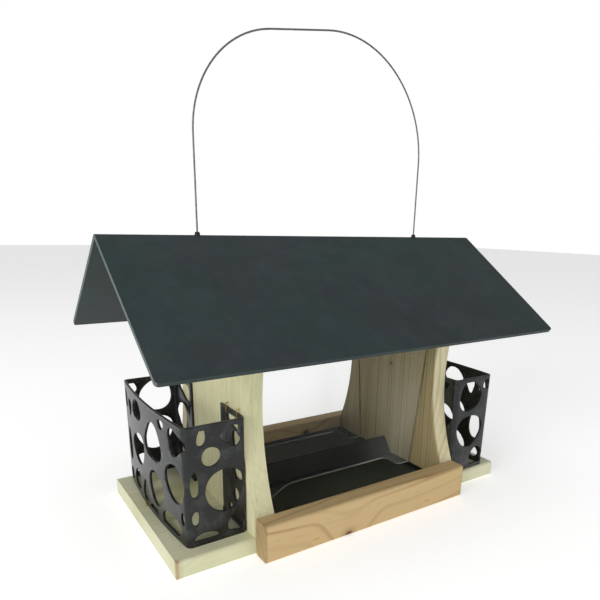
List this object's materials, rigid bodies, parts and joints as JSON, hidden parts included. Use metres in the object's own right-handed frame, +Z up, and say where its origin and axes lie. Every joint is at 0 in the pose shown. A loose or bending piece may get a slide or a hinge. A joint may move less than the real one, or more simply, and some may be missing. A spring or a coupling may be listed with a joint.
{
  "type": "hanging bird feeder",
  "caption": "Hanging wooden bird feeder with a lift-up gable roof, clear seed hopper, mesh tray and open end cages for fat balls.",
  "frame": {"origin": "centre of the base board's underside, on the plane that the feeder stands on", "axes": "+X along the roof ridge towards the right-hand cage, -Y towards the front, +Z up along the bail"},
  "size_m": [0.45, 0.278, 0.4768],
  "materials": {
    "base_pine": "planed pale pressure-treated pine, dry and unvarnished",
    "panel_pine": "planed pale pine, upright grain, unvarnished",
    "rail_pine": "planed warm pine with flat-sawn grain and a knot",
    "zinc_screws": "bright zinc plated steel",
    "brass_staples": "lacquered brass-coloured flat wire",
    "tray_plastic": "fine-textured black moulded plastic",
    "tray_mesh": "fine black mesh",
    "clear_acrylic": "clear cast acrylic with polished edges",
    "cage_plastic": "charcoal moulded plastic, satin",
    "bail_wire": "dark drawn steel wire",
    "roof_plastic": "slate grey moulded plastic, satin, fine texture",
    "grommet_plastic": "black moulded plastic"
  },
  "bodies": {
    "frame": {"base_board": "base_pine", "side_panel_left": "panel_pine", "side_panel_right": "panel_pine", "front_rail": "rail_pine", "back_rail": "rail_pine", "panel_screws_left": "zinc_screws", "panel_screws_right": "zinc_screws", "rail_staples_front": "brass_staples", "rail_staples_back": "brass_staples", "seed_tray": "tray_plastic", "tray_mesh_front": "tray_mesh", "tray_mesh_back": "tray_mesh", "cage_left": "cage_plastic", "cage_right": "cage_plastic", "cage_staples_left": "brass_staples", "cage_staples_right": "brass_staples", "hanger_wire": "bail_wire", "screw_eye_left": "zinc_screws", "screw_eye_right": "zinc_screws", "wire_ferrule_left": "zinc_screws", "wire_ferrule_right": "zinc_screws"},
    "roof": {"roof": "roof_plastic", "roof_grommet_left": "grommet_plastic", "roof_grommet_right": "grommet_plastic"},
    "front_pane": {"front_pane": "clear_acrylic"},
    "back_pane": {"back_pane": "clear_acrylic"}
  },
  "joints": [
    {"name": "roof_lift", "type": "slide", "parent": "frame", "child": "roof", "axis": [0, 0, 1], "range_m": [0, 0.07]},
    {"name": "front_pane_lift", "type": "slide", "parent": "frame", "child": "front_pane", "axis": [0, -0.1045, 0.9945], "range_m": [0, 0.025]},
    {"name": "back_pane_lift", "type": "slide", "parent": "frame", "child": "back_pane", "axis": [0, 0.1045, 0.9945], "range_m": [0, 0.025]}
  ]
}
